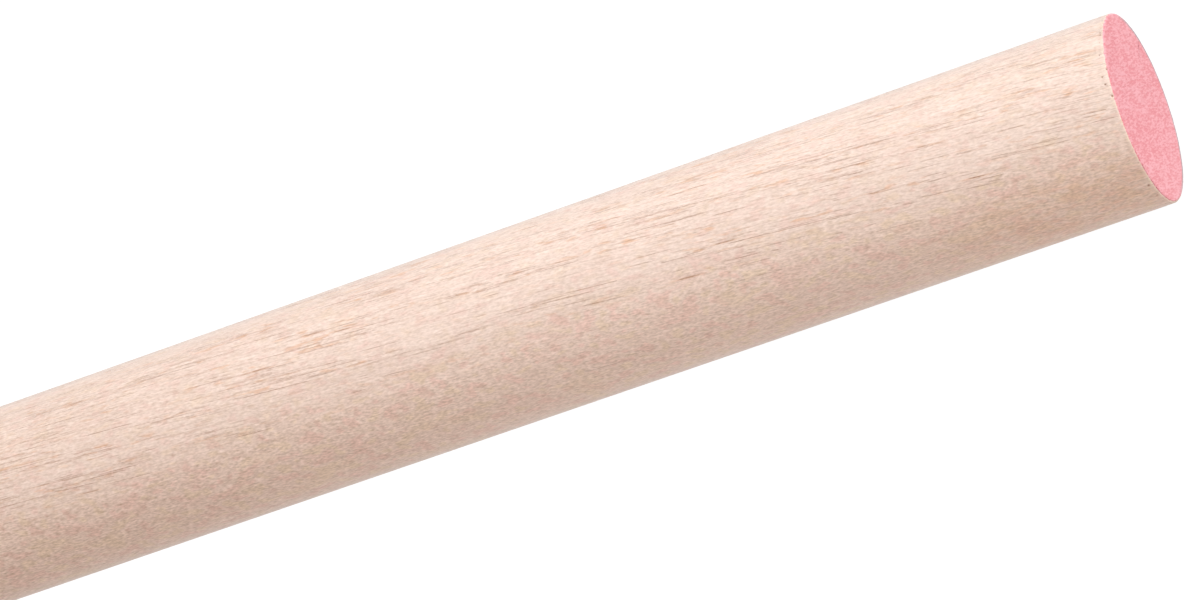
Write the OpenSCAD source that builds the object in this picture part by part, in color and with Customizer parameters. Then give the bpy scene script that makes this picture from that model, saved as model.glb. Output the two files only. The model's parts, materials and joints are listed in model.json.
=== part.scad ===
// Wooden dowel rod with a painted colour-code end.
// It stands on its plain sawn end, with its axis along Z and the painted end up.
// The origin is at the middle of the plain end. All sizes are in millimetres.

/* [Rod] */
// Diameter of the rod
rod_d = 25.4; // [6:0.1:60]
// Length of the rod, from end face to end face
rod_len = 304.8; // [50:0.1:1220]
// Radius of the eased edge around each end
edge_r = 0.25; // [0.1:0.05:2]

/* [End paint] */
// Thickness of the coat of paint on the upper end
paint_t = 0.12; // [0.05:0.01:0.5]

/* [Hidden] */

rod_r = rod_d / 2;
flat_r = rod_r - edge_r;

wood_colour = [0.93, 0.82, 0.75];
paint_colour = [0.96, 0.68, 0.70];

$fn = 128;

// Half of the rod's lengthwise section: two overlapping bars give the flat ends and the
// straight side, and a circle in each outer corner gives the eased edge its true radius.
module rod_section() {
    square([flat_r, rod_len]);
    translate([0, edge_r]) square([rod_r, rod_len - 2 * edge_r]);
    for (corner_z = [edge_r, rod_len - edge_r])
        translate([flat_r, corner_z]) circle(r = edge_r);
}

// The rod itself, turned from one piece of hardwood
module rod() {
    color(wood_colour) rotate_extrude() rod_section();
}

// The coat of paint, which covers the flat of the upper end up to its eased edge
module end_paint() {
    color(paint_colour) translate([0, 0, rod_len]) cylinder(r = flat_r, h = paint_t);
}

rod();
end_paint();
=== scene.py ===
"""Finishes the wooden dowel rod: bare sanded hardwood with one end painted as a colour code."""

import json
import math

import bpy
from bpy.props import FloatProperty, FloatVectorProperty, IntProperty, PointerProperty
from mathutils import Matrix, Vector


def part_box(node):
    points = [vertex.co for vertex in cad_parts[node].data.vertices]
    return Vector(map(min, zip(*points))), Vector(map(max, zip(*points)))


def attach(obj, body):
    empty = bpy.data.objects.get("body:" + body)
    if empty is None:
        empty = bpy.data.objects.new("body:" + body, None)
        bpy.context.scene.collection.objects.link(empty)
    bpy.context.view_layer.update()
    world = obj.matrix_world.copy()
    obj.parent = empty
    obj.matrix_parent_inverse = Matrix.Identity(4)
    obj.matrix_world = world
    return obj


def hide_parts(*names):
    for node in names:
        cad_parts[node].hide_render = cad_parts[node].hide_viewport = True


bl_info = {
    "name": "Wooden Dowel Rod",
    "version": (1, 0, 0),
    "blender": (4, 5, 0),
    "location": "View3D > Sidebar > Dowel Rod",
    "description": "Builds a sanded hardwood dowel rod with a painted end, in a plain studio",
    "category": "Object",
}

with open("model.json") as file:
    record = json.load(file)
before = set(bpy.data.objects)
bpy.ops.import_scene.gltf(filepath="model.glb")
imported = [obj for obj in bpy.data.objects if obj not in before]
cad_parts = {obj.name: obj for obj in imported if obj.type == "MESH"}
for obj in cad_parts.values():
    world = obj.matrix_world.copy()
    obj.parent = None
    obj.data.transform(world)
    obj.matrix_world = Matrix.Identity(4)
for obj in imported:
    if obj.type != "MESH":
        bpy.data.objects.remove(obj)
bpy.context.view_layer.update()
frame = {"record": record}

MM = 0.001
BODY = "root"
MOUNTS = {mount["name"]: mount for mount in frame["record"]["mounts"]}
ROD_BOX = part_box("rod")
PAINT_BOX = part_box("end_paint")
ROD_RADIUS = MOUNTS["rod_outside"]["dims"]["r_mm"] * MM
ROD_LENGTH = ROD_BOX[1].z - ROD_BOX[0].z
EDGE_RADIUS = (ROD_LENGTH - MOUNTS["rod_outside"]["dims"]["length_mm"] * MM) / 2
PAINT_RADIUS = PAINT_BOX[1].x
PAINT_THICKNESS = PAINT_BOX[1].z - PAINT_BOX[0].z
MERGE_DISTANCE = 0.0005 * MM

# the rod's mesh is finest this near to an eased edge, on the end and on the side
FINE_END = 1.2 * MM
FINE_SIDE = 1.6 * MM

# nicks torn in the sawn edges: cells to the millimetre, the share of cells that hold one from low x
# to high x (in millimetres), their size in cells, and how far from the edge they reach; a sawn edge
# is also worn a little all along, as a share of the deepest nick
NICK_CELLS = (1.3, 1.3, 1.3)
NICK_X = (-9.0, 6.0)
NICK_SHARE = (0.9, 0.45)
NICK_SIZE = 0.16
WEAR_CELLS = 1.4
WEAR_SHARE = 0.16
TEAR_REACH_ALONG = 1.7 * MM
TEAR_REACH_ACROSS = 0.45 * MM
TEAR_LEAN = 0.3

# saw marks on the plain end: cells to the metre, and how high up they fade out
SAW_CELLS = (0.25 / MM, 1.3 / MM, 0.0)
SAW_FADE = 0.05 * MM

# the flat map that the wood can be baked on: the gap between its patches, and how near to an end a
# face lies that belongs to that end
MAP_GAP = 1.0 * MM
MAP_END = 0.1 * MM

# the coat's rim: how unevenly it was brushed, how much further it laps over at low x than in the
# middle, and how far the rim is sunk into the wood
RAGGED_CELLS = 24.0
RAGGED_REACH = 0.3 * MM
LAP_DRIFT = 0.09 * MM
RIM_SINK = 0.01 * MM

# shares of the coat's radius: where its rounded shoulder starts, and where the painted shade at its
# rim starts and is full; and the y over which that painted shade comes in, towards the far side
SHOULDER_START = 0.985
RIM_SHADE_START = 0.945
RIM_SHADE_END = 0.978
RIM_SHADE_Y = (1.0 * MM, 8.0 * MM)

# shares of the coat's thickness: its level, and how far dimples and swirls (cells to the
# millimetre) take it up or down
COAT_LEVEL = 0.75
DIMPLES = (2.2, -0.3)
SWIRLS = (0.35, 0.6)

# the tree that the wood came from, in millimetres: where its middle lies, how wide its growth
# rings are and how far they wobble, and the size of its rays (out, round, up)
PITH = (20.0, 34.6)
PITH_DISTANCE = math.hypot(*PITH)
RING_WIDTH = 1.7
RING_WOBBLE = 3.0
RAY_SPACING = (2.2, 0.17, 0.55)
RAY_SHARE = 0.5

# vessel families: spacing across and along the grain in millimetres, radius as a share of the
# spacing, how dark they are, what share of them shows, and how strongly they stain the wood beside
# them
VESSEL_FAMILIES = (
    (0.17, 14.0, 0.22, 1.00, 0.8, 0.05),
    (0.18, 24.0, 0.21, 0.90, 0.7, 0.10),
    (0.22, 5.6, 0.18, 0.80, 0.8, 0.0),
    (0.60, 12.0, 0.11, 1.00, 0.8, 0.6),
)
FAMILY_SHIFT = (7.3, 2.1, 5.5)

# cells to the millimetre: how slowly the grain drifts, and the amber flecks among the vessels
DRIFT_CELLS = (0.09, 0.09, 0.025)
FLECK_CELLS = (1.8, 1.8, 0.36)
FLECK_SHIFT = (0.0, 30.0, 4.0)

# where things lie on the rod, in millimetres: from which x to which the wood loses its vessels, how
# unevenly it does, the browner patch, and the stretch over which painted shade for the light's
# falloff thins out upwards
PLAIN_X = (5.5, -2.0)
PLAIN_UNEVEN = 9.0
PATCH_X = (1.0, 8.0)
PATCH_Z = (268.0, 292.0)
FALLOFF_SHADE_Z = (120.0, 250.0)

# from which z down to which z the plain end's own look comes in, and how far below the painted end
# the painted highlight on the eased edge starts and is full: paler wood for the light it catches
END_GRAIN_Z = (0.3 * MM, 0.1 * MM)
EDGE_HIGHLIGHT_BELOW_END = (0.5 * MM, 0.3 * MM)

# how far the wood's tone moves with rings, rays and the painted shade of the light's falloff, and
# how much more green and blue move than red, because darker wood is also browner; the painted shade
# is browned the same way
RING_TONE = -0.03
RAY_TONE = -0.05
FALLOFF_SHADE_TONE = (-0.08, 0.005)
BROWNING = (1.0, 1.2, 1.37)
GRIT_BROWNING = (0.96, 1.17, 1.36)

# how strongly the vessels colour the bare wood, and the end grain under the paint
WOOD_PORES = 0.8
PAINTED_PORES = 1.0

# roughness, and how much pores, sawn end grain and stipple add to it; the sheen of fine wood dust
WOOD_ROUGHNESS = 0.62
PORE_ROUGHNESS = 0.2
SAWN_ROUGHNESS = 0.15
PAINT_ROUGHNESS = 0.5
STIPPLE_ROUGHNESS = 0.2
FLOOR_ROUGHNESS = 0.9
SHEEN = {"Sheen Weight": 0.8, "Sheen Roughness": 0.3}

# heights on the sanded wood and on the coat, in millimetres
PORE_DEPTH = -0.035
GRIT_HEIGHT = 0.03
STREAK_HEIGHT = 0.02
STIPPLE_HEIGHT = 0.06
PAINTED_PORE_DEPTH = -0.03

# the brush marks on the coat, in cells to the metre, and the paler and stronger patches among them
BRUSH_CELLS = (4.6 / MM, 0.95 / MM, 0.0)
BRUSH_SHIFT = (0.0, 0.0, 0.4)
BRUSH_PATCHES = (0.12, 0.24, 1.0)

# softboxes: the setting with the power, colour, azimuth and elevation in degrees, side in metres
SOFTBOXES = {
    "Key softbox": ("key_power", (0.845, 0.95, 1.0), -50.0, 40.0, 2.4),
    "Fill softbox": ("fill_power", (0.985, 0.985, 1.0), 100.0, 20.0, 2.0),
    "Rim softbox": ("rim_power", (0.73, 0.91, 1.0), -120.0, 20.0, 2.0),
    "Overhead softbox": ("top_power", (1.0, 1.0, 1.0), 0.0, 90.0, 2.0),
}
SOFTBOX_DISTANCE = 4.5

# the camera, in metres and degrees
CAMERA_PLACE = (0.00004, -0.7889, 0.5032)
CAMERA_AIM = (0.00044, 0.0, 0.22773)
CAMERA_ROLL = 70.8
SENSOR_WIDTH = 36.0

# the floor lies a hair under the rod, glows for the camera and takes on only part of the shadow
FLOOR_DROP = 0.05 * MM
FLOOR_GLOW = 0.68
FLOOR_DIMMING = 0.45
WHITE = (1.0, 1.0, 1.0, 1.0)


# ---------------------------------------------------------------- settings


class DowelRodSettings(bpy.types.PropertyGroup):
    """Sizes of the turned rod."""

    radius: FloatProperty(
        name="Radius", description="Radius of the rod", default=ROD_RADIUS, unit="LENGTH"
    )
    length: FloatProperty(
        name="Length", description="Length from end to end", default=ROD_LENGTH, unit="LENGTH"
    )
    edge_radius: FloatProperty(
        name="Edge Radius",
        description="Radius of the eased edge round each end",
        default=EDGE_RADIUS,
        unit="LENGTH",
    )
    segments: IntProperty(name="Segments", description="Faces round the rod", default=720, min=24)
    tear_depth: FloatProperty(
        name="Tear-out Depth",
        description="Depth of the deepest nick that the saw tore in the edge",
        default=0.2 * MM,
        unit="LENGTH",
    )
    saw_depth: FloatProperty(
        name="Saw Mark Depth",
        description="Depth of the saw marks on the plain end",
        default=0.05 * MM,
        unit="LENGTH",
    )


class DowelWoodSettings(bpy.types.PropertyGroup):
    """Colours and grain of the bare wood."""

    pale: FloatVectorProperty(
        name="Pale Wood",
        description="Ground colour of the wood",
        default=(0.882, 0.673, 0.580),
        subtype="COLOR",
    )
    vessel: FloatVectorProperty(
        name="Vessel Lines",
        description="Colour of the short pore lines",
        default=(0.44, 0.22, 0.14),
        subtype="COLOR",
    )
    rose: FloatVectorProperty(
        name="Rose Blotches",
        description="Colour that the soft pink blotches lean to",
        default=(0.85, 0.56, 0.48),
        subtype="COLOR",
    )
    straw: FloatVectorProperty(
        name="Straw Blotches",
        description="Colour that the soft yellowish blotches lean to",
        default=(0.86, 0.635, 0.49),
        subtype="COLOR",
    )
    amber: FloatVectorProperty(
        name="Vessel Stain",
        description="Colour that the wood beside the largest vessels leans to",
        default=(0.81, 0.50, 0.35),
        subtype="COLOR",
    )
    # painted highlight: paler wood on the eased edge beside the paint, where the edge turns up to
    # the light
    edge_highlight: FloatVectorProperty(
        name="Painted Edge Highlight",
        description="Colour of the clean wood on the eased edge beside the paint",
        default=(0.93, 0.72, 0.592),
        subtype="COLOR",
    )
    start_slope: FloatProperty(
        name="Grain Slope at Plain End",
        description="How steeply the grain spirals round the rod at its plain end",
        default=math.radians(2.2),
        subtype="ANGLE",
    )
    end_slope: FloatProperty(
        name="Grain Slope at Painted End",
        description="How steeply the grain spirals round the rod at its painted end",
        default=math.radians(5.2),
        subtype="ANGLE",
    )
    streak: FloatProperty(
        name="Streaks",
        description="How strongly long fibre streaks lighten and darken the wood",
        default=0.25,
        subtype="FACTOR",
    )
    grit: FloatProperty(
        name="Fine Grain",
        description="How strongly the short fine grain lightens and darkens the wood",
        default=0.57,
        subtype="FACTOR",
    )


class DowelPaintSettings(bpy.types.PropertyGroup):
    """The coat of paint on the upper end."""

    colour: FloatVectorProperty(
        name="Paint",
        description="Colour of the paint",
        default=(1.0, 0.468, 0.51),
        subtype="COLOR",
    )
    speck: FloatVectorProperty(
        name="Specks",
        description="Colour where the paint has soaked into the pores",
        default=(0.88, 0.273, 0.305),
        subtype="COLOR",
    )
    # painted shade: a dark line round the far side of the coat's rim, where its shoulder turns away
    rim: FloatVectorProperty(
        name="Painted Rim Shade",
        description="Colour of the thin worn line round the far side of the rim",
        default=(0.46, 0.37, 0.38),
        subtype="COLOR",
    )
    flat_radius: FloatProperty(
        name="Flat Radius",
        description="Radius of the flat of the end that the paint covers",
        default=PAINT_RADIUS,
        unit="LENGTH",
    )
    lap: FloatProperty(
        name="Lap",
        description="How far the paint laps over the eased edge, on average",
        default=0.10 * MM,
        unit="LENGTH",
    )
    thickness: FloatProperty(
        name="Thickness",
        description="Thickness of the coat",
        default=PAINT_THICKNESS,
        unit="LENGTH",
    )
    grid: IntProperty(name="Grid", description="Points across the coat", default=180, min=16)


class DowelStageSettings(bpy.types.PropertyGroup):
    """Floor, light and camera."""

    floor_size: FloatProperty(
        name="Floor Size", description="Side of the square floor", default=24.0, unit="LENGTH"
    )
    floor_colour: FloatVectorProperty(
        name="Floor",
        description="Colour of the floor",
        default=(0.82, 0.80, 0.78),
        subtype="COLOR",
    )
    sky_colour: FloatVectorProperty(
        name="Room Light",
        description="Colour of the light from all round",
        default=(0.51, 0.475, 0.452),
        subtype="COLOR",
    )
    key_power: FloatProperty(
        name="Key Power", description="Power of the large softbox", default=157.5, subtype="POWER"
    )
    fill_power: FloatProperty(
        name="Fill Power", description="Power of the weak fill", default=12.5, subtype="POWER"
    )
    rim_power: FloatProperty(
        name="Rim Power", description="Power of the weak rim light", default=12.6, subtype="POWER"
    )
    top_power: FloatProperty(
        name="Overhead Power",
        description="Power of the weak overhead",
        default=7.0,
        subtype="POWER",
    )
    lens: FloatProperty(
        name="Lens", description="Focal length of the camera, in millimetres", default=191.38
    )


# ---------------------------------------------------------------- node helpers


class Graph:
    """Builds a node tree step by step: each step returns the outputs that later steps use."""

    def __init__(self, tree):
        self.tree = tree

    def feed(self, socket, value):
        """Links an output to an input, or sets the input to a plain value."""
        if isinstance(value, bpy.types.NodeSocket):
            self.tree.links.new(value, socket)
        elif value is not None:
            socket.default_value = value

    def fill(self, node, named):
        """Feeds a node's inputs by their names."""
        for name, value in named.items():
            self.feed(node.inputs[name], value)

    def add(self, kind, *values, named=None, **settings):
        """Adds a node. Values fill its inputs in order, and named ones by their names."""
        node = self.tree.nodes.new(kind)
        for name, setting in settings.items():
            setattr(node, name, setting)
        for socket, value in zip(node.inputs, values):
            self.feed(socket, value)
        self.fill(node, named or {})
        return node

    def math(self, operation, a, b=None, c=None):
        return self.add("ShaderNodeMath", a, b, c, operation=operation).outputs[0]

    def plus(self, a, b):
        return self.math("ADD", a, b)

    def minus(self, a, b):
        return self.math("SUBTRACT", a, b)

    def times(self, a, b):
        return self.math("MULTIPLY", a, b)

    def over(self, a, b):
        return self.math("DIVIDE", a, b)

    def times_plus(self, a, b, c):
        return self.math("MULTIPLY_ADD", a, b, c)

    def larger(self, a, b):
        return self.math("MAXIMUM", a, b)

    def vector(self, operation, a, b=None, c=None):
        return self.add("ShaderNodeVectorMath", a, b, c, operation=operation).outputs[0]

    def scaled(self, vector, factor):
        node = self.add("ShaderNodeVectorMath", vector, named={"Scale": factor}, operation="SCALE")
        return node.outputs[0]

    def length(self, vector):
        return self.add("ShaderNodeVectorMath", vector, operation="LENGTH").outputs["Value"]

    def combine(self, x=0.0, y=0.0, z=0.0):
        return self.add("ShaderNodeCombineXYZ", x, y, z).outputs[0]

    def separate(self, vector):
        return self.add("ShaderNodeSeparateXYZ", vector).outputs[:]

    def ramp(self, value, low, high, to_low=0.0, to_high=1.0, curve="SMOOTHSTEP"):
        """Maps a value from one range to another, smoothly and without overshoot."""
        node = self.add("ShaderNodeMapRange", interpolation_type=curve)
        for socket, number in zip(node.inputs, (value, low, high, to_low, to_high)):
            self.feed(socket, number)
        return node.outputs[0]

    def noise(self, vector, detail=2.0, roughness=0.5, scale=1.0):
        return self.add(
            "ShaderNodeTexNoise",
            named={"Vector": vector, "Scale": scale, "Detail": detail, "Roughness": roughness},
        ).outputs["Fac"]

    def grained(self, place, across, along, detail=2.0, roughness=0.5):
        """Noise with this many cells to the millimetre across the grain and along it."""
        stretched = self.vector("MULTIPLY", place, (across, across, along))
        return self.noise(stretched, detail, roughness)

    def cells(self, vector):
        """Voronoi cells: the distance to the nearest point, and that cell's random values."""
        node = self.add("ShaderNodeTexVoronoi", named={"Vector": vector, "Scale": 1.0})
        return node.outputs["Distance"], self.separate(node.outputs["Color"])

    def blend(self, factor, a, b):
        """Mixes two colours."""
        node = self.add("ShaderNodeMix", data_type="RGBA")
        self.feed(node.inputs[0], factor)
        self.feed(node.inputs[6], a)
        self.feed(node.inputs[7], b)
        return node.outputs[2]

    def bump(self, height):
        """Bump whose heights are in millimetres."""
        named = {"Strength": 1.0, "Distance": MM, "Height": height}
        return self.add("ShaderNodeBump", named=named).outputs[0]

    def position(self):
        return self.add("GeometryNodeInputPosition").outputs[0]

    def placed(self, shape, position):
        """Puts each point of a shape at a place."""
        return self.add("GeometryNodeSetPosition", shape, named={"Position": position}).outputs[0]

    def moved(self, shape, offset):
        """Moves each point of a shape by an offset."""
        return self.add("GeometryNodeSetPosition", shape, named={"Offset": offset}).outputs[0]

    def merged(self, shape):
        """Joins the points that lie in one place."""
        node = self.add("GeometryNodeMergeByDistance", shape, named={"Distance": MERGE_DISTANCE})
        return node.outputs[0]

    def kept(self, shape, name, value):
        """Keeps a value on the points of a shape, under this name."""
        node = self.add("GeometryNodeCaptureAttribute", shape)
        node.capture_items.new("FLOAT", name)
        self.feed(node.inputs[name], value)
        return node.outputs[0], node.outputs[name]

    def stored(self, shape, name, value, data_type="FLOAT", domain="POINT"):
        """Stores an attribute that a material reads, or a flat map."""
        return self.add(
            "GeometryNodeStoreNamedAttribute",
            shape,
            data_type=data_type,
            domain=domain,
            named={"Name": name, "Value": value},
        ).outputs[0]

    def joined(self, *shapes):
        node = self.add("GeometryNodeJoinGeometry")
        for shape in shapes:
            self.tree.links.new(shape, node.inputs[0])
        return node.outputs[0]

    def finished(self, shape, material):
        """Smooth shading, real geometry and the material: the last steps of every piece."""
        shape = self.add("GeometryNodeSetShadeSmooth", shape).outputs[0]
        shape = self.add("GeometryNodeRealizeInstances", shape).outputs[0]
        return self.add("GeometryNodeSetMaterial", shape, named={"Material": material}).outputs[0]


def new_group(name, kind, inputs, outputs):
    """Starts a node group. Each socket is (name, type, default or None)."""
    tree = bpy.data.node_groups.new(name, kind)
    for sockets, side in ((inputs, "INPUT"), (outputs, "OUTPUT")):
        for socket_name, socket_type, default in sockets:
            socket = tree.interface.new_socket(
                name=socket_name, in_out=side, socket_type="NodeSocket" + socket_type
            )
            if default is not None:
                socket.default_value = default
    graph = Graph(tree)
    start = graph.add("NodeGroupInput").outputs
    return graph, start


def end_group(graph, **outputs):
    """Links the group's outputs by their names, and lays the finished tree out."""
    graph.add("NodeGroupOutput", named=outputs)
    lay_out(graph.tree)
    return graph.tree


def lay_out(tree, column=220, row=170):
    """Places the nodes in columns, from inputs on the left to outputs on the right."""
    depth = {node.name: 0 for node in tree.nodes}
    for _ in range(len(tree.nodes)):
        moved = False
        for link in tree.links:
            wanted = depth[link.from_node.name] + 1
            if depth[link.to_node.name] < wanted:
                depth[link.to_node.name] = wanted
                moved = True
        if not moved:
            break
    filled = {}
    for node in tree.nodes:
        place = depth[node.name]
        node.location = (place * column, -filled.get(place, 0) * row)
        filled[place] = filled.get(place, 0) + 1


# ---------------------------------------------------------------- shape


def edge_tears_group():
    """How deep the saw tore the wood at a place near an end: small nicks, and a little wear."""
    graph, start = new_group(
        "Edge Tears",
        "GeometryNodeTree",
        [("Position", "Vector", None), ("Depth", "Float", 0.0)],
        [("Tear", "Float", None)],
    )
    place = graph.scaled(start["Position"], 1 / MM)
    distance, (chance, size, _) = graph.cells(graph.vector("MULTIPLY", place, NICK_CELLS))
    width = graph.times_plus(size, NICK_SIZE, NICK_SIZE)
    nick = graph.ramp(graph.over(distance, width), 1.0, 0.35)
    share = graph.ramp(graph.separate(place)[0], *NICK_X, *NICK_SHARE)
    nick = graph.times(nick, graph.math("LESS_THAN", chance, share))
    wear = graph.times(graph.noise(place, 2.0, 0.6, WEAR_CELLS), WEAR_SHARE)
    tear = graph.larger(nick, wear)
    return end_group(graph, Tear=graph.times(tear, start["Depth"]))


def tear_offset(graph, position, length, radius, tear_depth):
    """The way that a place is pulled in by the nick there, and how deep it is."""
    x, y, z = graph.separate(position)
    from_end = graph.math("MINIMUM", z, graph.minus(length, z))
    from_side = graph.minus(radius, graph.length(graph.combine(x, y)))
    along = graph.over(from_end, TEAR_REACH_ALONG)
    across = graph.over(from_side, TEAR_REACH_ACROSS)
    near = graph.ramp(graph.length(graph.combine(along, across)), 1.0, 0.4)
    tears = graph.add("GeometryNodeGroup", node_tree=bpy.data.node_groups["Edge Tears"])
    graph.fill(tears, {"Position": position, "Depth": tear_depth})
    depth = graph.times(tears.outputs["Tear"], near)
    inward = graph.scaled(graph.vector("NORMALIZE", graph.combine(x, y)), -1.0)
    upper = graph.math("GREATER_THAN", z, graph.times(length, 0.5))
    off_end = graph.times_plus(upper, -2.0, 1.0)
    lean = graph.combine(0.0, 0.0, graph.times(off_end, TEAR_LEAN))
    return graph.scaled(graph.vector("ADD", inward, lean), depth), depth


def straight_stretch(graph, count, start, end):
    """A straight row of points, both ends counted."""
    ends = {"Start Location": graph.combine(*start), "Offset": graph.combine(*end)}
    node = graph.add("GeometryNodeMeshLine", mode="END_POINTS", named={"Count": count, **ends})
    return node.outputs[0]


def eased_stretch(graph, count, flat, centre_z, edge, first, last):
    """A row of points round an eased edge, from the first angle to the last."""
    row = straight_stretch(graph, count, (first, 0.0, 0.0), (last, 0.0, 0.0))
    angle = graph.separate(graph.position())[0]
    r = graph.times_plus(graph.math("COSINE", angle), edge, flat)
    z = graph.times_plus(graph.math("SINE", angle), edge, centre_z)
    return graph.placed(row, graph.combine(r, 0.0, z))


def section_points(graph, radius, length, edge):
    """The rod's half section as a row of points (r, 0, z), close together near both edges."""
    flat = graph.minus(radius, edge)
    near_flat = graph.minus(flat, FINE_END)
    side_low = graph.plus(edge, FINE_SIDE)
    side_high = graph.minus(length, side_low)
    top_edge = graph.minus(length, edge)
    quarter_turn = math.pi / 2
    pieces = [
        straight_stretch(graph, 22, (0.0, 0.0, 0.0), (near_flat, 0.0, 0.0)),
        straight_stretch(graph, 9, (near_flat, 0.0, 0.0), (flat, 0.0, 0.0)),
        eased_stretch(graph, 8, flat, edge, edge, -quarter_turn, 0.0),
        straight_stretch(graph, 15, (radius, 0.0, edge), (radius, 0.0, side_low)),
        straight_stretch(graph, 24, (radius, 0.0, side_low), (radius, 0.0, side_high)),
        straight_stretch(graph, 15, (radius, 0.0, side_high), (radius, 0.0, top_edge)),
        eased_stretch(graph, 8, flat, top_edge, edge, 0.0, quarter_turn),
        straight_stretch(graph, 5, (flat, 0.0, length), (near_flat, 0.0, length)),
        straight_stretch(graph, 3, (near_flat, 0.0, length), (0.0, 0.0, length)),
    ]
    # Join Geometry puts the last link first
    return graph.joined(*reversed(pieces))


def turned_rod_tree():
    """Turns the section round the axis, tears its edges a little and saws its plain end."""
    graph, start = new_group(
        "Turned Rod",
        "GeometryNodeTree",
        [
            ("Radius", "Float", ROD_RADIUS),
            ("Length", "Float", ROD_LENGTH),
            ("Edge Radius", "Float", EDGE_RADIUS),
            ("Segments", "Int", 720),
            ("Tear Depth", "Float", 0.0),
            ("Saw Depth", "Float", 0.0),
            ("Material", "Material", None),
        ],
        [("Geometry", "Geometry", None)],
    )
    section = section_points(graph, start["Radius"], start["Length"], start["Edge Radius"])
    rows = graph.add("GeometryNodeAttributeDomainSize", section).outputs["Point Count"]
    columns = graph.plus(start["Segments"], 1.0)
    grid = graph.add("GeometryNodeMeshGrid", 1.0, 1.0, columns, rows).outputs[0]
    index = graph.add("GeometryNodeInputIndex").outputs[0]
    row = graph.math("MODULO", index, rows)
    column = graph.math("FLOOR", graph.over(graph.plus(index, 0.5), rows))
    turn = graph.over(column, start["Segments"])
    sampled = graph.add(
        "GeometryNodeSampleIndex", section, graph.position(), row, data_type="FLOAT_VECTOR"
    ).outputs[0]
    r, _, z = graph.separate(sampled)
    angle = graph.times(turn, math.tau)
    x = graph.times(r, graph.math("COSINE", angle))
    y = graph.times(r, graph.math("SINE", angle))
    shape, turn = graph.kept(grid, "Turn", turn)
    shape = graph.placed(shape, graph.combine(x, y, z))
    shape = bake_map(graph, shape, turn, start["Radius"], start["Length"])
    shape = tear_and_saw(graph, graph.merged(shape), start)
    return end_group(graph, Geometry=graph.finished(shape, start["Material"]))


def bake_map(graph, shape, turn, radius, length):
    """Unrolls the side as two halves side by side over the two round ends, all at one scale."""
    wrap = graph.times(radius, math.tau)
    disc = graph.times_plus(radius, 2.0, 2 * MAP_GAP)
    half = graph.times(length, 0.5)
    sheet = graph.plus(graph.plus(disc, half), MAP_GAP)
    x, y, z = graph.separate(graph.position())
    face_z = graph.add("GeometryNodeFieldOnDomain", z, domain="FACE").outputs[0]
    upper = graph.math("GREATER_THAN", face_z, half)
    side_u = graph.times_plus(turn, wrap, MAP_GAP)
    side_u = graph.plus(side_u, graph.times(upper, graph.plus(wrap, MAP_GAP)))
    side_v = graph.minus(z, graph.times(upper, half))
    side_v = graph.plus(side_v, disc)
    centre = graph.plus(radius, MAP_GAP)
    end_u = graph.plus(x, graph.times_plus(upper, disc, centre))
    end_v = graph.plus(y, centre)
    to_end = graph.math("MINIMUM", face_z, graph.minus(length, face_z))
    place = graph.add("ShaderNodeMix", data_type="VECTOR")
    graph.feed(place.inputs[0], graph.math("LESS_THAN", to_end, MAP_END))
    graph.feed(place.inputs[4], graph.combine(side_u, side_v))
    graph.feed(place.inputs[5], graph.combine(end_u, end_v))
    scaled = graph.vector("DIVIDE", place.outputs[1], graph.combine(sheet, sheet, 1.0))
    return graph.stored(shape, "OFBake", scaled, data_type="FLOAT2", domain="CORNER")


def tear_and_saw(graph, shape, start):
    """Pulls the surface in at each tear, and cuts shallow saw marks across the plain end."""
    position = graph.position()
    length, radius = start["Length"], start["Radius"]
    pulled, depth = tear_offset(graph, position, length, radius, start["Tear Depth"])
    marks = graph.noise(graph.vector("MULTIPLY", position, SAW_CELLS), 3.0, 0.6)
    on_plain_end = graph.ramp(graph.separate(position)[2], SAW_FADE, 0.0)
    saw = graph.times(graph.times(marks, on_plain_end), start["Saw Depth"])
    offset = graph.vector("ADD", pulled, graph.combine(0.0, 0.0, saw))
    torn = graph.stored(shape, "torn", graph.over(depth, start["Tear Depth"]))
    return graph.moved(torn, offset)


def round_disc(graph, grid, flat_radius, lap):
    """Turns each square ring of a grid into a round one, so it has no pole. Its rim is ragged.

    Gives the disc, and each point's share of the way out to the rim.
    """

    def to_circle(a, b):
        """Maps the edge of a square onto a circle: a * sqrt(1 - b * b / 2)."""
        squared = graph.times(graph.times(b, b), -0.5)
        return graph.times(a, graph.math("SQRT", graph.plus(squared, 1.0)))

    u, v, _ = graph.separate(graph.position())
    ring = graph.larger(graph.math("ABSOLUTE", u), graph.math("ABSOLUTE", v))
    on_edge = graph.larger(ring, 0.0001)
    u = graph.over(u, on_edge)
    v = graph.over(v, on_edge)
    spoke = graph.combine(to_circle(u, v), to_circle(v, u))
    outward = graph.math("SINE", graph.times(ring, math.pi / 2))
    ragged = graph.noise(graph.scaled(spoke, RAGGED_CELLS), 2.0, 0.6)
    ragged = graph.minus(ragged, 0.5)
    drift = graph.times(graph.separate(spoke)[0], -LAP_DRIFT)
    rim = graph.plus(graph.plus(flat_radius, lap), drift)
    rim = graph.times_plus(ragged, RAGGED_REACH, rim)
    disc, share = graph.kept(grid, "Share", outward)
    return graph.placed(disc, graph.scaled(spoke, graph.times(rim, outward))), share


def lay_on_end(graph, disc, start):
    """Lays the disc on the rod's end, over its eased edge and into its nicks."""
    past = graph.minus(graph.length(graph.position()), start["Flat Radius"])
    past = graph.larger(past, 0.0)
    edge_squared = graph.times(start["Edge Radius"], start["Edge Radius"])
    squares = graph.minus(edge_squared, graph.times(past, past))
    drop = graph.minus(graph.math("SQRT", squares), start["Edge Radius"])
    height = graph.plus(drop, start["Length"])
    laid = graph.moved(disc, graph.combine(0.0, 0.0, height))
    radius = graph.plus(start["Flat Radius"], start["Edge Radius"])
    pulled, _ = tear_offset(graph, graph.position(), start["Length"], radius, start["Tear Depth"])
    return graph.moved(laid, pulled)


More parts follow.
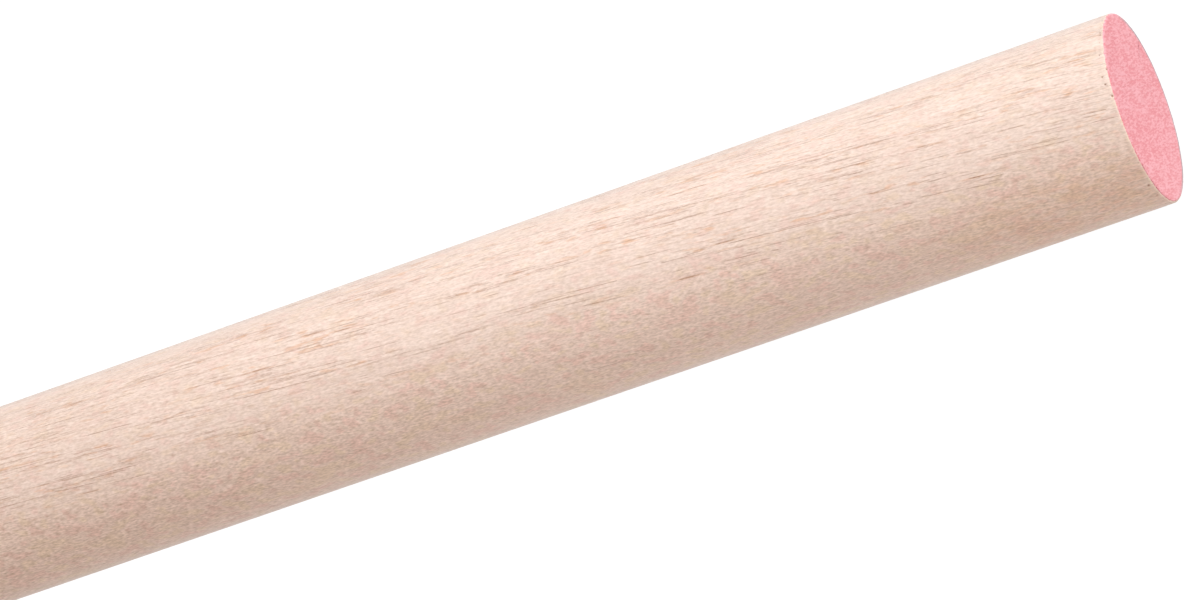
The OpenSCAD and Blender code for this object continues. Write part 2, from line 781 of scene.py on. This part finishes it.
def thicken(graph, laid, share, thickness):
    """Two sheets that share their rim: the coat's dimpled top, and its underside in the wood."""
    place = graph.vector("MULTIPLY", graph.position(), (1 / MM, 1 / MM, 0.0))
    dimples = graph.minus(graph.noise(place, 2.0, 0.6, DIMPLES[0]), 0.5)
    swirls = graph.minus(graph.noise(place, 2.0, 0.5, SWIRLS[0]), 0.5)
    level = graph.times_plus(dimples, DIMPLES[1], COAT_LEVEL)
    level = graph.times_plus(swirls, SWIRLS[1], level)
    past = graph.ramp(share, SHOULDER_START, 1.0, curve="LINEAR")
    past_squared = graph.times(past, past)
    thinned = graph.math("SQRT", graph.times_plus(past_squared, -1.0, 1.0))
    rise = graph.times(graph.times(level, thinned), thickness)
    top = graph.moved(laid, graph.combine(0.0, 0.0, rise))
    sunk = graph.times(thinned, -0.5 * PAINT_THICKNESS)
    under = graph.moved(laid, graph.combine(0.0, 0.0, sunk))
    # the two sheets are cut along opposite diagonals, so they share no edge but their rim
    top = graph.add("GeometryNodeTriangulate", top, quad_method="FIXED").outputs[0]
    under = graph.add("GeometryNodeTriangulate", under, quad_method="FIXED_ALTERNATE").outputs[0]
    under = graph.add("GeometryNodeFlipFaces", under).outputs[0]
    return graph.joined(top, under)


def paint_coat_tree():
    """A thin round coat that laps over the eased edge and follows the nicks under it."""
    graph, start = new_group(
        "Paint Coat",
        "GeometryNodeTree",
        [
            ("Flat Radius", "Float", PAINT_RADIUS),
            ("Edge Radius", "Float", EDGE_RADIUS),
            ("Lap", "Float", 0.0),
            ("Thickness", "Float", PAINT_THICKNESS),
            ("Length", "Float", ROD_LENGTH),
            ("Grid", "Int", 180),
            ("Tear Depth", "Float", 0.0),
            ("Material", "Material", None),
        ],
        [("Geometry", "Geometry", None)],
    )
    grid = graph.add("GeometryNodeMeshGrid", 2.0, 2.0, start["Grid"], start["Grid"]).outputs[0]
    disc, share = round_disc(graph, grid, start["Flat Radius"], start["Lap"])
    laid = lay_on_end(graph, disc, start)
    shape = graph.merged(thicken(graph, laid, share, start["Thickness"]))
    # painted shade at the coat's rim, coming in towards the far side where the shoulder turns away
    shaded = graph.ramp(share, RIM_SHADE_START, RIM_SHADE_END)
    far_side = graph.ramp(graph.separate(graph.position())[1], *RIM_SHADE_Y)
    shape = graph.stored(shape, "rim", graph.times(shaded, far_side))
    # sink the shared rim a hair into the wood, so that no edge floats over it
    on_rim = graph.math("GREATER_THAN", share, 0.9999)
    shape = graph.moved(shape, graph.combine(0.0, 0.0, graph.times(on_rim, -RIM_SINK)))
    return end_group(graph, Geometry=graph.finished(shape, start["Material"]))


def grow_piece(name, tree, inputs):
    """Runs a geometry tree with these inputs and keeps the result as a plain mesh."""
    seed = bpy.data.objects.new(name + "_seed", bpy.data.meshes.new(name + "_seed"))
    bpy.context.scene.collection.objects.link(seed)
    modifier = seed.modifiers.new("Shape", "NODES")
    modifier.node_group = tree
    for item in tree.interface.items_tree:
        if item.item_type == "SOCKET" and item.in_out == "INPUT" and item.name in inputs:
            modifier[item.identifier] = inputs[item.name]
    seed.update_tag()
    depsgraph = bpy.context.evaluated_depsgraph_get()
    mesh = bpy.data.meshes.new_from_object(seed.evaluated_get(depsgraph), depsgraph=depsgraph)
    bpy.data.objects.remove(seed)
    if not mesh.polygons:
        raise RuntimeError(name + " came out with no faces")
    mesh.name = name
    piece = bpy.data.objects.new(name, mesh)
    bpy.context.scene.collection.objects.link(piece)
    return piece


# ---------------------------------------------------------------- finishes


def fibre_space_group():
    """Turns a place on the rod into millimetres along and across its grain.

    The grain spirals round the rod, more steeply towards the upper end, and wanders a little.
    """
    graph, start = new_group(
        "Fibre Space",
        "ShaderNodeTree",
        [
            ("Vector", "Vector", None),
            ("Start Slope", "Float", 0.0),
            ("End Slope", "Float", 0.0),
            ("Length", "Float", 300.0),
            ("Radius", "Float", 10.0),
            ("Wander", "Float", 0.3),
        ],
        [("Vector", "Vector", None)],
    )
    place = graph.scaled(start["Vector"], 1 / MM)
    _, _, z = graph.separate(place)
    first = graph.math("TANGENT", start["Start Slope"])
    gain = graph.minus(graph.math("TANGENT", start["End Slope"]), first)
    gain = graph.over(gain, graph.times(start["Length"], 2.0))
    reach = graph.times(z, graph.times_plus(gain, z, first))
    turn = graph.over(reach, graph.times(start["Radius"], -1.0))
    untwisted = graph.add(
        "ShaderNodeVectorRotate", named={"Vector": place, "Angle": turn}, rotation_type="Z_AXIS"
    ).outputs[0]
    slow = graph.vector("MULTIPLY", place, DRIFT_CELLS)
    drift = graph.add("ShaderNodeTexNoise", named={"Vector": slow, "Scale": 1.0, "Detail": 1.0})
    drift = graph.vector("SUBTRACT", drift.outputs["Color"], (0.5, 0.5, 0.5))
    wandered = graph.vector("ADD", untwisted, graph.scaled(drift, start["Wander"]))
    return end_group(graph, Vector=wandered)


def vessels(graph, place, across, along, radius, share):
    """One family of pores: spindles along the grain, of which a share shows, and their stain.

    across and along are the mean spacing in millimetres. radius is a share of it, and each pore's
    own radius is 0.7 to 1.3 times that. Wider pores are darker.
    """
    stretched = graph.vector("MULTIPLY", place, (1 / across, 1 / across, 1 / along))
    distance, (chance, size, _) = graph.cells(stretched)
    width = graph.times_plus(size, radius * 0.6, radius * 0.7)
    depth = graph.over(distance, width)
    shown = graph.math("LESS_THAN", chance, share)
    shown = graph.times(shown, graph.times_plus(size, 0.6, 0.4))
    line = graph.times(graph.ramp(depth, 1.05, 0.80), shown)
    halo = graph.times(graph.ramp(depth, 2.3, 0.8), shown)
    return line, halo


def growth_rings(graph, place, x, y):
    """Rings round the tree's middle, outside the rod, and each place's distance from there."""
    from_pith = graph.combine(graph.minus(x, PITH[0]), graph.minus(y, PITH[1]))
    distance = graph.length(from_pith)
    wobble = graph.grained(place, across=0.12, along=0.02)
    ring = graph.times_plus(wobble, RING_WOBBLE, graph.over(distance, RING_WIDTH))
    wave = graph.math("SINE", graph.times(ring, math.tau))
    return graph.times_plus(wave, 0.5, 0.5), distance


def wood_rays(graph, x, y, z, distance):
    """Thin sheets that run out from the tree's middle."""
    from_x = graph.minus(x, PITH[0])
    from_y = graph.minus(y, PITH[1])
    turn = graph.times(graph.math("ARCTAN2", from_y, from_x), PITH_DISTANCE)
    place = graph.vector("DIVIDE", graph.combine(distance, turn, z), RAY_SPACING)
    from_ray, (chance, _, _) = graph.cells(place)
    shown = graph.math("LESS_THAN", chance, RAY_SHARE)
    return graph.times(graph.ramp(from_ray, 0.5, 0.2), shown)


def vessel_lines(graph, place, crowd, vessel_rich):
    """All vessel families and the faint hair lines between them, and the stain round them."""
    pores = 0.0
    stains = 0.0
    for index, (across, along, radius, weight, share, stain) in enumerate(VESSEL_FAMILIES):
        shift = tuple(step * index for step in FAMILY_SHIFT)
        family = graph.vector("ADD", place, shift)
        shown = graph.times(crowd, share)
        line, halo = vessels(graph, family, across, along, radius, shown)
        pores = graph.larger(graph.times(line, weight), pores)
        stains = graph.larger(graph.times(halo, stain), stains)
    hairs = graph.grained(place, across=5.5, along=0.22, detail=1.0)
    hairs = graph.ramp(hairs, 0.45, 0.34, 0.0, 0.5)
    hairs = graph.times(hairs, graph.times_plus(crowd, 0.7, 0.25))
    return graph.larger(graph.times(hairs, vessel_rich), pores), stains


def tinted_ground(graph, place, plain, start):
    """Soft blotches, pink and straw, which the plain side shows more of. The plain side, away from
    the key light, is also warmer: partly the wood's own tone, partly painted shade.
    """
    tint = graph.grained(place, across=0.75, along=0.5, detail=1.0, roughness=0.4)
    cloud = graph.grained(place, across=0.30, along=0.14)
    often = graph.times_plus(plain, 0.7, 0.4)
    rose = graph.plus(graph.ramp(tint, 0.54, 0.70), graph.ramp(cloud, 0.53, 0.70, 0.0, 0.4))
    # the plain side's base of rose and straw: partly the wood's own warmer tone, partly painted
    # shade
    rose = graph.times_plus(rose, often, graph.times(plain, 0.24))
    straw = graph.plus(graph.ramp(tint, 0.45, 0.28), graph.ramp(cloud, 0.46, 0.30, 0.0, 0.4))
    straw = graph.plus(straw, graph.ramp(plain, 0.0, 0.4, 0.10, 0.24, curve="LINEAR"))
    straw = graph.times(straw, often)
    ground = graph.blend(rose, start["Pale"], start["Rose"])
    return graph.blend(straw, ground, start["Straw"])


def amber_stains(graph, place, crowd, x, z):
    """Flecks among the vessels, and a browner patch on the plain side near the upper end."""
    flecks = graph.noise(graph.vector("MULTIPLY_ADD", place, FLECK_CELLS, FLECK_SHIFT), 2.0, 0.55)
    flecks = graph.ramp(flecks, 0.54, 0.72)
    flecks = graph.times(flecks, graph.times_plus(crowd, 0.8, 0.1))
    patch = graph.times(graph.ramp(x, *PATCH_X), graph.ramp(z, *PATCH_Z))
    mottled = graph.grained(place, across=1.1, along=0.35, detail=3.0, roughness=0.6)
    patch = graph.times(patch, graph.ramp(mottled, 0.35, 0.65, 0.1, 0.6))
    return graph.larger(flecks, patch)


def wood_grain_group():
    """Pale hardwood in fibre space: vessel lines, fibre streaks, rays, rings and blotches."""
    graph, start = new_group(
        "Wood Grain",
        "ShaderNodeTree",
        [
            ("Vector", "Vector", None),
            ("On Rod", "Vector", None),
            ("Pale", "Color", (0.8, 0.7, 0.6, 1.0)),
            ("Vessel", "Color", (0.3, 0.2, 0.1, 1.0)),
            ("Rose", "Color", (0.8, 0.6, 0.5, 1.0)),
            ("Straw", "Color", (0.8, 0.7, 0.4, 1.0)),
            ("Amber", "Color", (0.8, 0.5, 0.3, 1.0)),
            ("Vessel Strength", "Float", 1.0),
            ("Streak Strength", "Float", 0.6),
            ("Grit Strength", "Float", 0.6),
        ],
        [
            ("Color", "Color", None),
            ("Pores", "Float", None),
            ("Rings", "Float", None),
            ("Height", "Float", None),
        ],
    )
    place = start["Vector"]
    x, y, z = graph.separate(start["On Rod"])
    rings, from_pith = growth_rings(graph, place, x, y)

    # the wood that faces away from -X has fewer vessels, and elsewhere they crowd together
    uneven = graph.grained(place, across=0.16, along=0.03)
    side = graph.times_plus(graph.minus(uneven, 0.5), PLAIN_UNEVEN, x)
    vessel_rich = graph.ramp(side, *PLAIN_X, 0.03, 1.0)
    plain = graph.minus(1.0, vessel_rich)
    crowd = graph.grained(place, across=0.55, along=0.045)
    crowd = graph.times_plus(rings, 0.15, graph.ramp(crowd, 0.40, 0.62, 0.10, 1.0))
    crowd = graph.times(crowd, vessel_rich)
    pores, halos = vessel_lines(graph, place, crowd, vessel_rich)

    # long fibre streaks, and fine grain that breaks the lines up
    streak = graph.grained(place, across=4.0, along=0.28)
    streak = graph.minus(streak, 0.5)
    streak = graph.times(streak, graph.ramp(vessel_rich, 0.0, 1.0, 0.5, 1.0))
    grit = graph.grained(place, across=4.4, along=1.5, detail=1.0, roughness=0.6)
    grit = graph.minus(grit, 0.5)
    pores = graph.times(pores, graph.ramp(grit, 0.12, -0.08, 0.75, 1.0))
    grit = graph.times(grit, graph.ramp(vessel_rich, 0.0, 1.0, 1.35, 0.8))

    stains = graph.larger(amber_stains(graph, place, crowd, x, z), halos)
    ground = tinted_ground(graph, place, plain, start)
    ground = graph.blend(stains, ground, start["Amber"])

    # darker wood is also browner, so red moves least and blue moves most
    tone = graph.times(streak, start["Streak Strength"])
    tone = graph.times_plus(rings, RING_TONE, tone)
    tone = graph.times_plus(wood_rays(graph, x, y, z, from_pith), RAY_TONE, tone)
    # painted shade: darker towards the plain end, and more so on the +X side away from the key
    # light, for light that falls off along the rod
    falloff_shade = graph.ramp(z, *FALLOFF_SHADE_Z, *FALLOFF_SHADE_TONE)
    tone = graph.times_plus(falloff_shade, graph.times_plus(plain, 0.5, 1.0), tone)
    tone = graph.combine(tone, tone, tone)
    tone = graph.vector("MULTIPLY_ADD", tone, BROWNING, (1.0, 1.0, 1.0))
    fine = graph.times(grit, start["Grit Strength"])
    fine = graph.vector("MULTIPLY_ADD", graph.combine(fine, fine, fine), GRIT_BROWNING, tone)
    toned = graph.vector("MULTIPLY", ground, fine)
    stain = graph.times(pores, start["Vessel Strength"])
    colour = graph.blend(stain, toned, start["Vessel"])

    height = graph.times_plus(pores, PORE_DEPTH, graph.times(grit, GRIT_HEIGHT))
    height = graph.times_plus(streak, STREAK_HEIGHT, height)
    return end_group(graph, Color=colour, Pores=pores, Rings=rings, Height=height)


def opaque(colour):
    return (*colour, 1.0)


def new_material(name):
    """A material with only its Principled shader and its output."""
    material = bpy.data.materials.new(name)
    material.use_nodes = True
    graph = Graph(material.node_tree)
    shader = next(node for node in material.node_tree.nodes if node.type == "BSDF_PRINCIPLED")
    return material, graph, shader


def grain_nodes(graph, wood, rod, vessel_strength):
    """Puts the shared wood groups in a material. Gives the place on the rod, and the grain."""
    coordinates = graph.add("ShaderNodeTexCoord").outputs["Object"]
    fibre = graph.add(
        "ShaderNodeGroup",
        node_tree=bpy.data.node_groups["Fibre Space"],
        named={
            "Vector": coordinates,
            "Start Slope": wood.start_slope,
            "End Slope": wood.end_slope,
            "Length": rod.length / MM,
            "Radius": rod.radius / MM,
            "Wander": 1.0,
        },
    ).outputs[0]
    names = ("Pale", "Vessel", "Rose", "Straw", "Amber")
    colours = {name: opaque(getattr(wood, name.lower())) for name in names}
    grain = graph.add(
        "ShaderNodeGroup",
        node_tree=bpy.data.node_groups["Wood Grain"],
        named={
            "Vector": fibre,
            "On Rod": graph.scaled(coordinates, 1 / MM),
            **colours,
            "Vessel Strength": vessel_strength,
            "Streak Strength": wood.streak,
            "Grit Strength": wood.grit,
        },
    )
    return coordinates, grain.outputs


def bare_wood_material(wood, rod):
    """Sanded wood. Its sawn end is darker and shows the rings, and its nicks turn towards the
    vessel colour, darker the deeper they are.
    """
    material, graph, shader = new_material("bare_wood")
    coordinates, grain = grain_nodes(graph, wood, rod, WOOD_PORES)
    z = graph.separate(coordinates)[2]
    end_grain = graph.ramp(z, *END_GRAIN_Z)
    ring_shade = graph.times_plus(grain["Rings"], 0.16, 0.10)
    end_shade = graph.times(end_grain, ring_shade)
    colour = graph.blend(end_shade, grain["Color"], opaque(wood.vessel))
    # painted highlight: the eased edge below the paint turns paler, for the light it catches as it
    # turns up
    highlight_low, highlight_high = EDGE_HIGHLIGHT_BELOW_END
    edge_highlight = graph.ramp(z, rod.length - highlight_low, rod.length - highlight_high, 0.0, 0.2)
    colour = graph.blend(edge_highlight, colour, opaque(wood.edge_highlight))
    torn = graph.add("ShaderNodeAttribute", attribute_name="torn").outputs["Fac"]
    colour = graph.blend(graph.ramp(torn, 0.3, 0.8, 0.0, 0.8), colour, opaque(wood.vessel))
    roughness = graph.times_plus(grain["Pores"], PORE_ROUGHNESS, WOOD_ROUGHNESS)
    roughness = graph.times_plus(end_grain, SAWN_ROUGHNESS, roughness)
    normal = graph.bump(grain["Height"])
    graph.fill(shader, {"Base Color": colour, "Roughness": roughness, "Normal": normal, **SHEEN})
    lay_out(graph.tree)
    return material


def end_paint_material(paint, wood, rod):
    """Matt paint on end grain: paler where it stands proud, stronger where it soaked in."""
    material, graph, shader = new_material("end_paint")
    coordinates, grain = grain_nodes(graph, wood, rod, PAINTED_PORES)
    brushed = graph.vector("MULTIPLY_ADD", coordinates, BRUSH_CELLS, BRUSH_SHIFT)
    stipple = graph.noise(brushed, 1.0, 0.6)
    patch = graph.noise(graph.vector("MULTIPLY", brushed, BRUSH_PATCHES), 2.0)
    soaked = graph.ramp(stipple, 0.38, 0.62, 1.0, 0.0, curve="LINEAR")
    soaked = graph.times_plus(graph.minus(patch, 0.5), 1.1, soaked)
    soaked = graph.larger(soaked, graph.times(grain["Pores"], 0.8))
    colour = graph.blend(soaked, opaque(paint.colour), opaque(paint.speck))
    # the rim attribute blends in the painted shade along the far side of the coat's rim
    rim = graph.add("ShaderNodeAttribute", attribute_name="rim").outputs["Fac"]
    colour = graph.blend(rim, colour, opaque(paint.rim))
    height = graph.times(stipple, STIPPLE_HEIGHT)
    height = graph.times_plus(grain["Pores"], PAINTED_PORE_DEPTH, height)
    roughness = graph.times_plus(stipple, STIPPLE_ROUGHNESS, PAINT_ROUGHNESS)
    normal = graph.bump(height)
    graph.fill(shader, {"Base Color": colour, "Roughness": roughness, "Normal": normal})
    lay_out(graph.tree)
    return material


# ---------------------------------------------------------------- stage


def seen_factor(graph):
    """1 for rays from the camera, from gloss and through glass; 0 for the light on the object."""
    rays = graph.add("ShaderNodeLightPath").outputs
    seen = graph.larger(rays["Is Camera Ray"], rays["Is Glossy Ray"])
    return graph.larger(seen, rays["Is Transmission Ray"])


def floor_material(colour):
    """A pale floor that glows for the camera, keeps a light shadow and is clear from below."""
    material, graph, shader = new_material("floor")
    matt = {"Roughness": FLOOR_ROUGHNESS, "Specular IOR Level": 0.0}
    graph.fill(shader, {"Base Color": opaque(colour), **matt})
    seen = seen_factor(graph)
    glow_strength = graph.times(seen, FLOOR_GLOW)
    glow = graph.add("ShaderNodeEmission", WHITE, glow_strength).outputs[0]
    dimming = graph.times(seen, FLOOR_DIMMING)
    dimmed = graph.add("ShaderNodeMixShader", dimming, shader.outputs[0]).outputs[0]
    whole = graph.add("ShaderNodeAddShader", dimmed, glow).outputs[0]
    behind = graph.add("ShaderNodeNewGeometry").outputs["Backfacing"]
    clear = graph.add("ShaderNodeBsdfTransparent").outputs[0]
    open_below = graph.add("ShaderNodeMixShader", behind, whole, clear).outputs[0]
    output = next(node for node in graph.tree.nodes if node.type == "OUTPUT_MATERIAL")
    graph.feed(output.inputs["Surface"], open_below)
    lay_out(graph.tree)
    return material


def lay_floor(stage):
    """One large square face just under the rod."""
    half = stage.floor_size / 2
    mesh = bpy.data.meshes.new("floor")
    corners = [(x * half, y * half, -FLOOR_DROP) for x, y in ((-1, -1), (1, -1), (1, 1), (-1, 1))]
    mesh.from_pydata(corners, [], [(0, 1, 2, 3)])
    floor = bpy.data.objects.new("floor", mesh)
    bpy.context.scene.collection.objects.link(floor)
    mesh.materials.append(floor_material(stage.floor_colour))


def light_room(scene, stage):
    """Even light from all round, in front of a white room."""
    world = bpy.data.worlds.new("room")
    world.use_nodes = True
    scene.world = world
    graph = Graph(world.node_tree)
    background = next(node for node in world.node_tree.nodes if node.type == "BACKGROUND")
    colour = graph.blend(seen_factor(graph), opaque(stage.sky_colour), WHITE)
    graph.feed(background.inputs["Color"], colour)
    lay_out(graph.tree)


def place_softbox(name, power, colour, azimuth, elevation, size):
    """A square softbox that faces the rod's middle. Azimuth turns from the front towards +X."""
    light = bpy.data.lights.new(name, "AREA")
    light.shape = "SQUARE"
    light.size = size
    light.energy = power
    light.color = colour
    lamp = bpy.data.objects.new(name, light)
    turn, rise = math.radians(azimuth), math.radians(elevation)
    level = math.cos(rise)
    towards = Vector((math.sin(turn) * level, -math.cos(turn) * level, math.sin(rise)))
    lamp.location = Vector((0.0, 0.0, ROD_LENGTH / 2)) + towards * SOFTBOX_DISTANCE
    lamp.rotation_euler = towards.to_track_quat("Z", "Y").to_euler()
    bpy.context.scene.collection.objects.link(lamp)


def place_camera(scene, stage):
    """A long lens, rolled so that the rod lies across the view, painted end at the right."""
    location = Vector(CAMERA_PLACE)
    camera_data = bpy.data.cameras.new("camera")
    camera_data.sensor_width = SENSOR_WIDTH
    camera_data.lens = stage.lens
    camera = bpy.data.objects.new("camera", camera_data)
    upright = (Vector(CAMERA_AIM) - location).to_track_quat("-Z", "Y").to_matrix().to_4x4()
    roll = Matrix.Rotation(math.radians(CAMERA_ROLL), 4, "Z")
    camera.matrix_world = Matrix.Translation(location) @ upright @ roll
    scene.collection.objects.link(camera)
    scene.camera = camera


# ---------------------------------------------------------------- operators


def stand_for(piece, node):
    """The piece rides on the rod's one body and stands for its node."""
    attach(piece, BODY)
    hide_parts(node)


class DOWEL_OT_turn_rod(bpy.types.Operator):
    """Turn the rod, ease and tear its edges, and give it bare sanded wood"""

    bl_idname = "dowel.turn_rod"
    bl_label = "Turn Rod"

    def execute(self, context):
        rod = context.scene.dowel_rod
        wood = context.scene.dowel_wood
        fibre_space_group()
        wood_grain_group()
        edge_tears_group()
        inputs = {
            "Radius": rod.radius,
            "Length": rod.length,
            "Edge Radius": rod.edge_radius,
            "Segments": rod.segments,
            "Tear Depth": rod.tear_depth,
            "Saw Depth": rod.saw_depth,
            "Material": bare_wood_material(wood, rod),
        }
        piece = grow_piece("turned_rod", turned_rod_tree(), inputs)
        stand_for(piece, "rod")
        return {"FINISHED"}


class DOWEL_OT_paint_end(bpy.types.Operator):
    """Brush a thin coat of paint on the upper end"""

    bl_idname = "dowel.paint_end"
    bl_label = "Paint End"

    def execute(self, context):
        rod = context.scene.dowel_rod
        paint = context.scene.dowel_paint
        inputs = {
            "Flat Radius": paint.flat_radius,
            "Edge Radius": rod.edge_radius,
            "Lap": paint.lap,
            "Thickness": paint.thickness,
            "Length": rod.length,
            "Grid": paint.grid,
            "Tear Depth": rod.tear_depth,
            "Material": end_paint_material(paint, context.scene.dowel_wood, rod),
        }
        piece = grow_piece("paint_coat", paint_coat_tree(), inputs)
        stand_for(piece, "end_paint")
        return {"FINISHED"}


class DOWEL_OT_set_stage(bpy.types.Operator):
    """Lay the floor and set up the light and the camera"""

    bl_idname = "dowel.set_stage"
    bl_label = "Set Stage"

    def execute(self, context):
        stage = context.scene.dowel_stage
        lay_floor(stage)
        light_room(context.scene, stage)
        for name, (power, *placing) in SOFTBOXES.items():
            place_softbox(name, getattr(stage, power), *placing)
        place_camera(context.scene, stage)
        context.scene.view_settings.view_transform = "Standard"
        return {"FINISHED"}


class DOWEL_PT_sidebar(bpy.types.Panel):
    """Lists the rod's settings and steps"""

    bl_label = "Dowel Rod"
    bl_idname = "DOWEL_PT_sidebar"
    bl_space_type = "VIEW_3D"
    bl_region_type = "UI"
    bl_category = "Dowel Rod"

    def draw(self, context):
        layout = self.layout
        for name, steps in STEPS.items():
            box = layout.box()
            settings = getattr(context.scene, name)
            for prop in settings.__annotations__:
                box.prop(settings, prop)
            for step in steps:
                box.operator(step)


STEPS = {
    "dowel_rod": ["dowel.turn_rod"],
    "dowel_wood": [],
    "dowel_paint": ["dowel.paint_end"],
    "dowel_stage": ["dowel.set_stage"],
}
SETTINGS = {
    "dowel_rod": DowelRodSettings,
    "dowel_wood": DowelWoodSettings,
    "dowel_paint": DowelPaintSettings,
    "dowel_stage": DowelStageSettings,
}
OPERATORS = (DOWEL_OT_turn_rod, DOWEL_OT_paint_end, DOWEL_OT_set_stage)


def register():
    for cls in (*SETTINGS.values(), *OPERATORS, DOWEL_PT_sidebar):
        bpy.utils.register_class(cls)
    for name, cls in SETTINGS.items():
        setattr(bpy.types.Scene, name, PointerProperty(type=cls))


def unregister():
    for name in SETTINGS:
        delattr(bpy.types.Scene, name)
    for cls in (DOWEL_PT_sidebar, *reversed(OPERATORS), *reversed(list(SETTINGS.values()))):
        bpy.utils.unregister_class(cls)


def main():
    register()
    bpy.ops.dowel.turn_rod()
    bpy.ops.dowel.paint_end()
    bpy.ops.dowel.set_stage()


if __name__ == "__main__":
    main()
